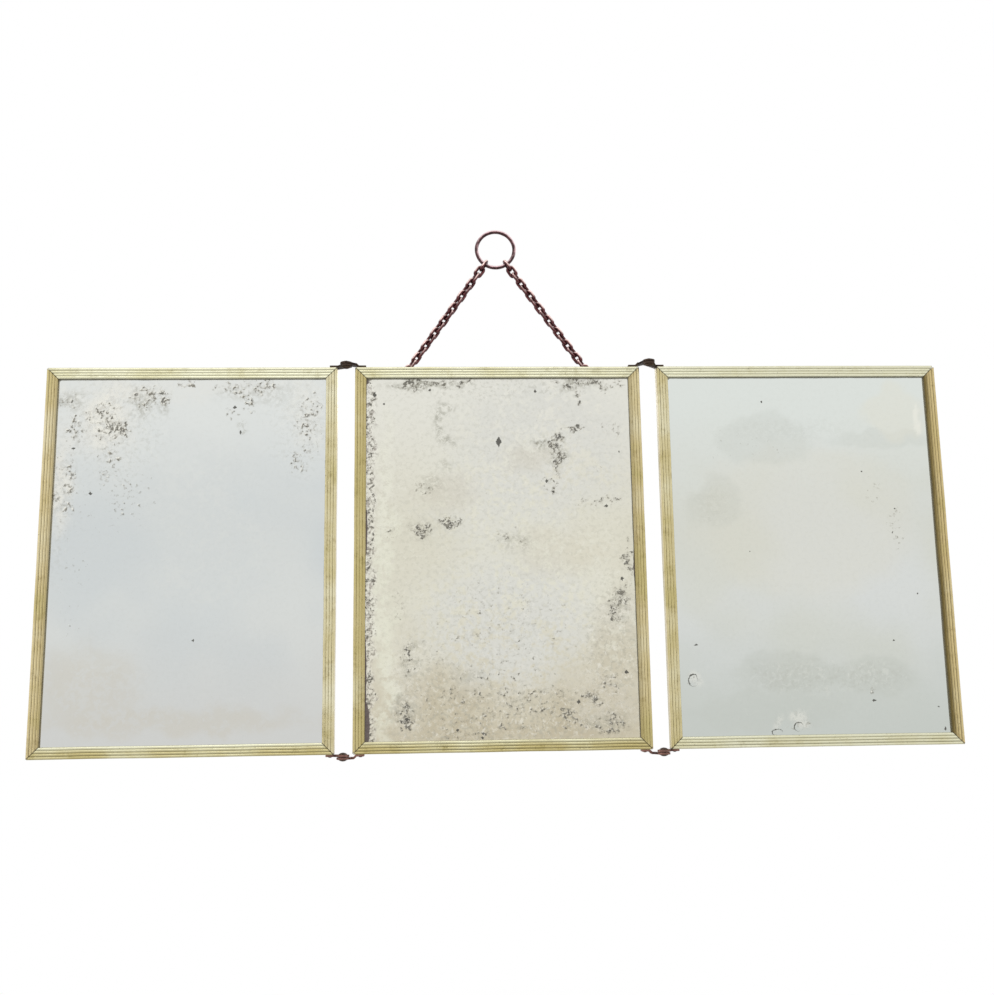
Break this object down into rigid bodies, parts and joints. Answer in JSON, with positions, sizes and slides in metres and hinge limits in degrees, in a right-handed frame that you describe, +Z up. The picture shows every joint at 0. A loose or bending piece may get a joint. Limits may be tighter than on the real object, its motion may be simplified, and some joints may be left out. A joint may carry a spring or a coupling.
{
  "type": "wall-hung triptych mirror",
  "caption": "Wall-hung triptych mirror: brass-framed glasses joined by riveted strap hinges that fold flat over the middle one, hung by short chains from a ring.",
  "frame": {"origin": "centre of the hanging ring, where the nail or hook passes through it", "axes": "-Y is the front that the glasses face, +Y is towards the wall, +Z is up, +X is the viewer's right"},
  "size_m": [0.5778, 0.0229, 0.3479],
  "materials": {
    "brass": "worn reeded brass sheet",
    "dark_brass": "dark brown patina on brass strap",
    "coppered_steel": "dark coppered steel wire, rubbed bright on the high spots",
    "mirror_glass": "old silvered plate with foxing",
    "backing_board": "pressed brown board"
  },
  "bodies": {
    "ring": {"hanging_ring": "coppered_steel"},
    "chain": {"left_chain": "coppered_steel", "right_chain": "coppered_steel"},
    "centre_panel": {"centre_top_rail": "brass", "centre_bottom_rail": "brass", "centre_left_stile": "brass", "centre_right_stile": "brass", "centre_mirror": "mirror_glass", "centre_backing_board": "backing_board", "top_left_centre_strap": "dark_brass", "bottom_left_centre_strap": "dark_brass", "top_right_centre_strap": "dark_brass", "bottom_right_centre_strap": "dark_brass", "top_left_hinge_rivet": "dark_brass", "bottom_left_hinge_rivet": "dark_brass", "top_right_hinge_rivet": "dark_brass", "bottom_right_hinge_rivet": "dark_brass", "centre_strap_rivets": "dark_brass", "left_eye_plate": "brass", "right_eye_plate": "brass", "left_eye_loop": "brass", "right_eye_loop": "brass", "eye_rivets": "brass"},
    "left_wing": {"left_top_rail": "brass", "left_bottom_rail": "brass", "left_outer_stile": "brass", "left_inner_stile": "brass", "left_mirror": "mirror_glass", "left_backing_board": "backing_board", "top_left_wing_strap": "dark_brass", "bottom_left_wing_strap": "dark_brass", "left_strap_rivets": "dark_brass"},
    "right_wing": {"right_top_rail": "brass", "right_bottom_rail": "brass", "right_inner_stile": "brass", "right_outer_stile": "brass", "right_mirror": "mirror_glass", "right_backing_board": "backing_board", "top_right_wing_strap": "dark_brass", "bottom_right_wing_strap": "dark_brass", "right_strap_rivets": "dark_brass"}
  },
  "joints": [
    {"name": "chain_swing", "type": "hinge", "parent": "ring", "child": "chain", "pos_m": [0, 0, -0.0104], "axis": [1, 0, 0], "range_deg": [-30, 30]},
    {"name": "panel_tilt", "type": "hinge", "parent": "chain", "child": "centre_panel", "pos_m": [0, 0, -0.08987], "axis": [1, 0, 0], "range_deg": [-5, 170]},
    {"name": "left_wing_fold", "type": "hinge", "parent": "centre_panel", "child": "left_wing", "pos_m": [-0.0982, -0.01165, -0.20737], "axis": [0, 0, 1], "range_deg": [-70, 180]},
    {"name": "right_wing_fold", "type": "hinge", "parent": "centre_panel", "child": "right_wing", "pos_m": [0.0982, -0.01555, -0.20737], "axis": [0, 0, -1], "range_deg": [-50, 180]}
  ]
}
